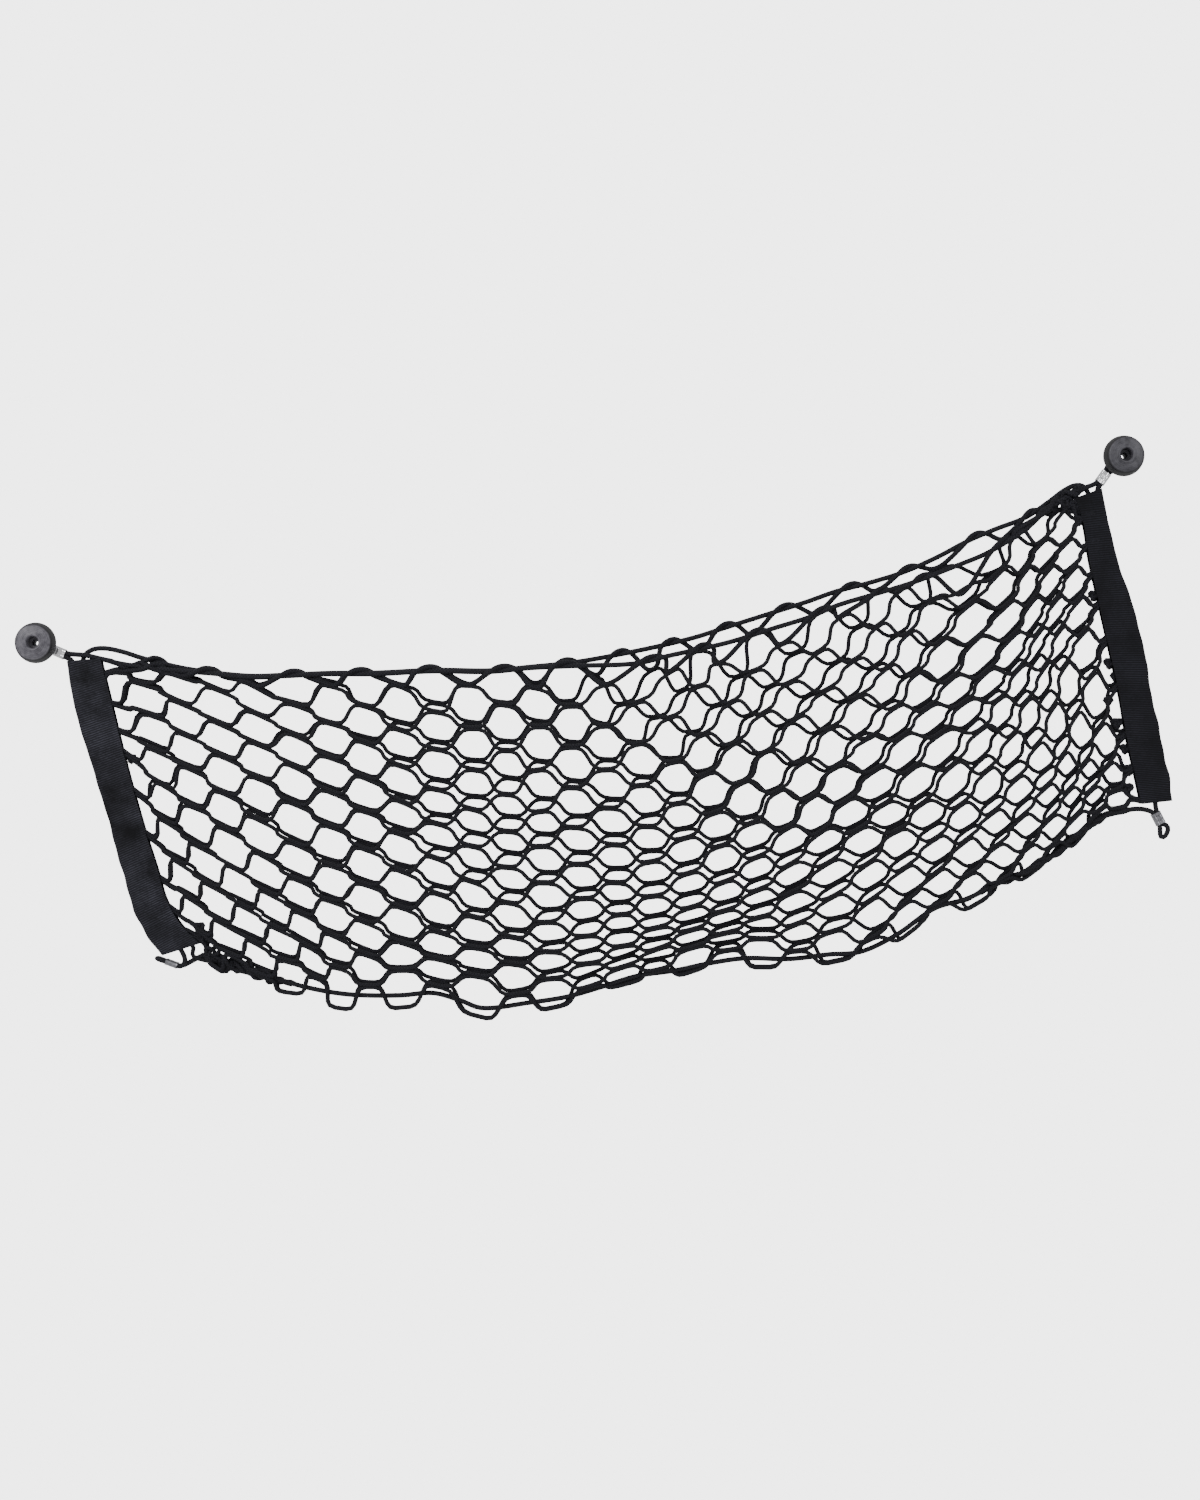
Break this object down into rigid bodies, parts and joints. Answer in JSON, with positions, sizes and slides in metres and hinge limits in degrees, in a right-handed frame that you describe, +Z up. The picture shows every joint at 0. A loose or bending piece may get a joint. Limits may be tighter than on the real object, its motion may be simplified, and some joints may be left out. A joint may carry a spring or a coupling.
{
  "type": "envelope cargo net hung on two screw-on knobs",
  "caption": "Open-topped elastic net pocket with webbing end bands and corner loops, hung by its upper corners on two screw-on knobs.",
  "frame": {"origin": "the left knob's screw axis, at the wall", "axes": "+X to the right along the wall, +Z up, +Y into the wall; the net hangs in front of it towards -Y"},
  "size_m": [1.041, 0.0295, 0.5194],
  "materials": {
    "knob_plastic": "moulded satin grey plastic",
    "sleeve_metal": "bright crimped metal",
    "elastic_cord": "black braided cover over rubber",
    "webbing": "black ribbed elastic webbing",
    "elastic_netting": "black covered elastic strands"
  },
  "bodies": {
    "root": {"knob_left": "knob_plastic", "knob_right": "knob_plastic", "sleeve_upper_left": "sleeve_metal", "sleeve_upper_right": "sleeve_metal", "sleeve_lower_right": "sleeve_metal", "sleeve_lower_left": "sleeve_metal", "edge_cord": "elastic_cord", "back_top_cord": "elastic_cord", "band_left": "webbing", "band_right": "webbing", "net": "elastic_netting"}
  },
  "joints": []
}
